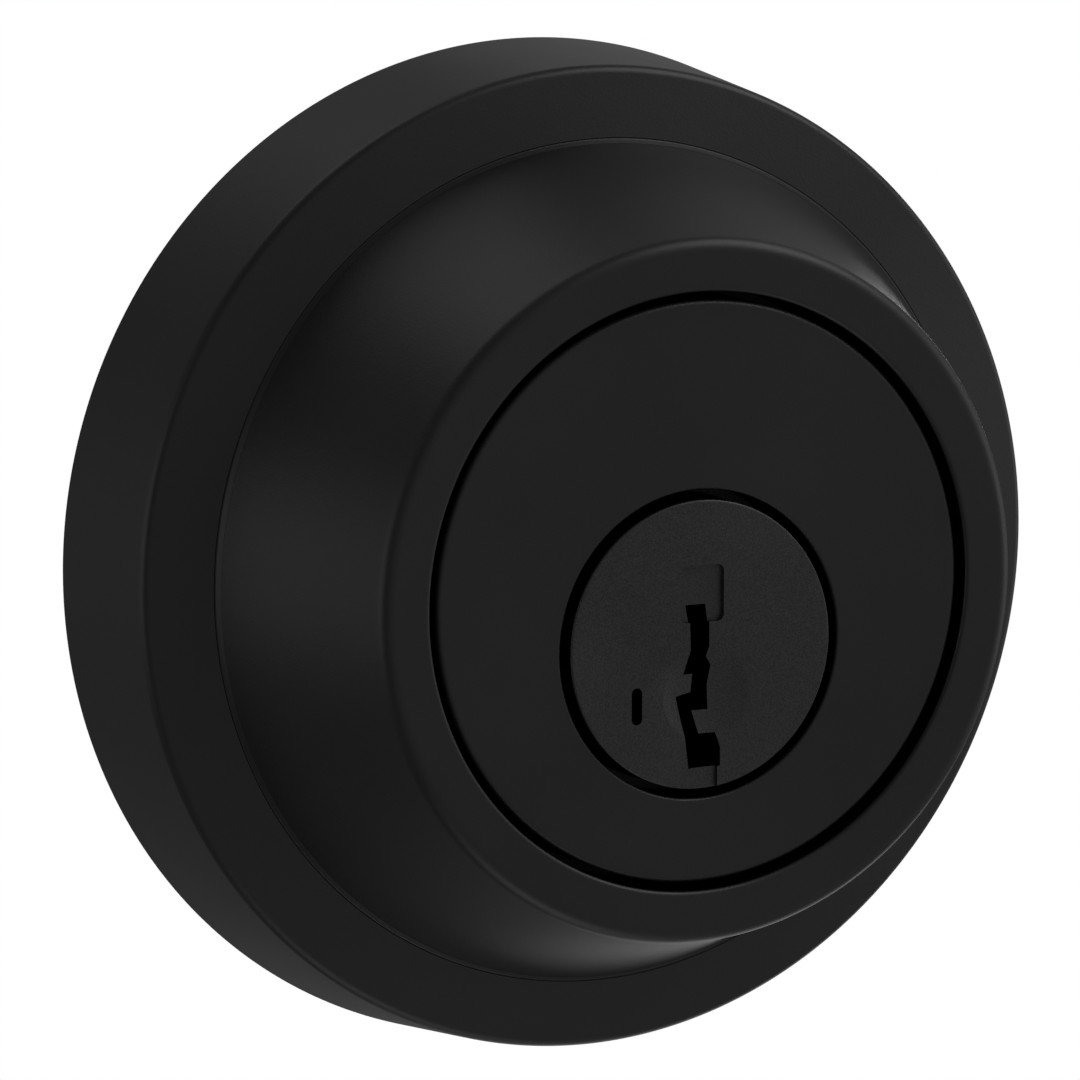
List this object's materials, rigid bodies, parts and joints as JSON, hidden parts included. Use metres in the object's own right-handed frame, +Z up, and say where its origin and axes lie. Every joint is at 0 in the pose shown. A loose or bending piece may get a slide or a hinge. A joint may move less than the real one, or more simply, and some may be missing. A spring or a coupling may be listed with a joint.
{
  "type": "single-cylinder deadbolt lock",
  "caption": "Round matte black keyed deadbolt with a spinning guard collar and key plug outside, a tubular latch with a sliding bolt, and a thumbturn inside.",
  "frame": {"origin": "centre of the 54 mm cross bore on the outside face of the door", "axes": "+X along the door towards its edge and the bolt's throw, +Y through the door from outside to inside, +Z up"},
  "size_m": [0.0936, 0.1013, 0.07],
  "materials": {
    "black": "matte black powder coat on zinc",
    "plug_black": "matte black, grainy",
    "nylon": "natural nylon",
    "adapter_plastic": "moulded black plastic",
    "hard_steel": "hardened steel",
    "brass": "machined brass",
    "spring_steel": "spring steel",
    "zinc_steel": "bright zinc plated steel",
    "bolt_steel": "satin plated steel"
  },
  "bodies": {
    "lockset": {"rosette": "black", "cylinder_body": "black", "collar_washer": "nylon", "bore_adapter": "adapter_plastic", "drill_pin_1": "hard_steel", "drill_pin_2": "hard_steel", "drill_pin_3": "hard_steel", "case_side_outer": "zinc_steel", "case_side_inner": "zinc_steel", "case_rivet_1": "zinc_steel", "case_rivet_2": "zinc_steel", "case_rivet_3": "zinc_steel", "latch_tube": "zinc_steel", "bolt_guide": "nylon", "backing_plate": "zinc_steel", "faceplate": "black", "detent_spring": "spring_steel", "mount_plate": "zinc_steel", "mount_screw_top": "zinc_steel", "mount_screw_bottom": "zinc_steel", "interior_rose": "black", "rose_screw": "hard_steel"},
    "guard_collar": {"guard_collar": "black"},
    "plug": {"plug": "plug_black", "plug_cassette": "brass", "spring_cover": "brass", "plug_clip": "spring_steel", "tail_retainer": "zinc_steel", "pin_spring_1": "spring_steel", "pin_spring_2": "spring_steel", "pin_spring_3": "spring_steel", "pin_spring_4": "spring_steel", "pin_spring_5": "spring_steel"},
    "carriage": {"carriage": "brass"},
    "sidebar": {"sidebar": "brass"},
    "thumbturn": {"thumbturn": "black", "thumb_spindle": "zinc_steel", "thumb_clip": "spring_steel"},
    "tailpiece": {"tailpiece": "zinc_steel"},
    "cam": {"cam": "zinc_steel"},
    "bolt": {"bolt": "bolt_steel", "bolt_tail": "zinc_steel", "drive_pin": "hard_steel", "bolt_roller": "hard_steel", "bolt_rivet_1": "zinc_steel", "bolt_rivet_2": "zinc_steel"},
    "key_pin_1": {"key_pin_1": "brass", "wafer_1": "brass"},
    "key_pin_2": {"key_pin_2": "brass", "wafer_2": "brass"},
    "key_pin_3": {"key_pin_3": "brass", "wafer_3": "brass"},
    "key_pin_4": {"key_pin_4": "brass", "wafer_4": "brass"},
    "key_pin_5": {"key_pin_5": "brass", "wafer_5": "brass"}
  },
  "joints": [
    {"name": "thumbturn_turn", "type": "hinge", "parent": "lockset", "child": "thumbturn", "pos_m": [0, 0.055, -0.0034], "axis": [0, 1, 0], "range_deg": [0, 90]},
    {"name": "tailpiece_turn", "type": "hinge", "parent": "lockset", "child": "tailpiece", "pos_m": [0, 0.01, -0.0034], "axis": [0, 1, 0], "range_deg": [0, 90]},
    {"name": "cam_turn", "type": "hinge", "parent": "lockset", "child": "cam", "pos_m": [0, 0.02223, -0.0034], "axis": [0, 1, 0], "range_deg": [0, 90]},
    {"name": "bolt_slide", "type": "slide", "parent": "lockset", "child": "bolt", "axis": [1, 0, 0], "range_m": [0, 0.0254]},
    {"name": "plug_turn", "type": "hinge", "parent": "lockset", "child": "plug", "pos_m": [0, 0, -0.0034], "axis": [0, 1, 0], "range_deg": [-90, 90]},
    {"name": "collar_spin", "type": "hinge", "parent": "lockset", "child": "guard_collar", "pos_m": [0, -0.01, 0], "axis": [0, 1, 0], "continuous": true},
    {"name": "carriage_slide", "type": "slide", "parent": "plug", "child": "carriage", "axis": [0, 1, 0], "range_m": [0, 0.0008], "stiffness_N_per_m": 200, "springref_m": -0.001},
    {"name": "sidebar_slide", "type": "slide", "parent": "plug", "child": "sidebar", "axis": [-1, 0, 0], "range_m": [0, 0.0008]},
    {"name": "pin_lift_1", "type": "slide", "parent": "plug", "child": "key_pin_1", "axis": [0, 0, 1], "range_m": [0, 0.0025], "stiffness_N_per_m": 100, "springref_m": -0.002, "deforming": ["pin_spring_1"]},
    {"name": "pin_lift_2", "type": "slide", "parent": "plug", "child": "key_pin_2", "axis": [0, 0, 1], "range_m": [0, 0.0025], "stiffness_N_per_m": 100, "springref_m": -0.002, "deforming": ["pin_spring_2"]},
    {"name": "pin_lift_3", "type": "slide", "parent": "plug", "child": "key_pin_3", "axis": [0, 0, 1], "range_m": [0, 0.0025], "stiffness_N_per_m": 100, "springref_m": -0.002, "deforming": ["pin_spring_3"]},
    {"name": "pin_lift_4", "type": "slide", "parent": "plug", "child": "key_pin_4", "axis": [0, 0, 1], "range_m": [0, 0.0025], "stiffness_N_per_m": 100, "springref_m": -0.002, "deforming": ["pin_spring_4"]},
    {"name": "pin_lift_5", "type": "slide", "parent": "plug", "child": "key_pin_5", "axis": [0, 0, 1], "range_m": [0, 0.0025], "stiffness_N_per_m": 100, "springref_m": -0.002, "deforming": ["pin_spring_5"]}
  ],
  "couplings": [
    {"joint": "thumbturn_turn", "follows": "bolt_slide", "rad_per_m": 61.842},
    {"joint": "cam_turn", "follows": "bolt_slide", "rad_per_m": 61.842},
    {"joint": "tailpiece_turn", "follows": "bolt_slide", "rad_per_m": 61.842}
  ]
}
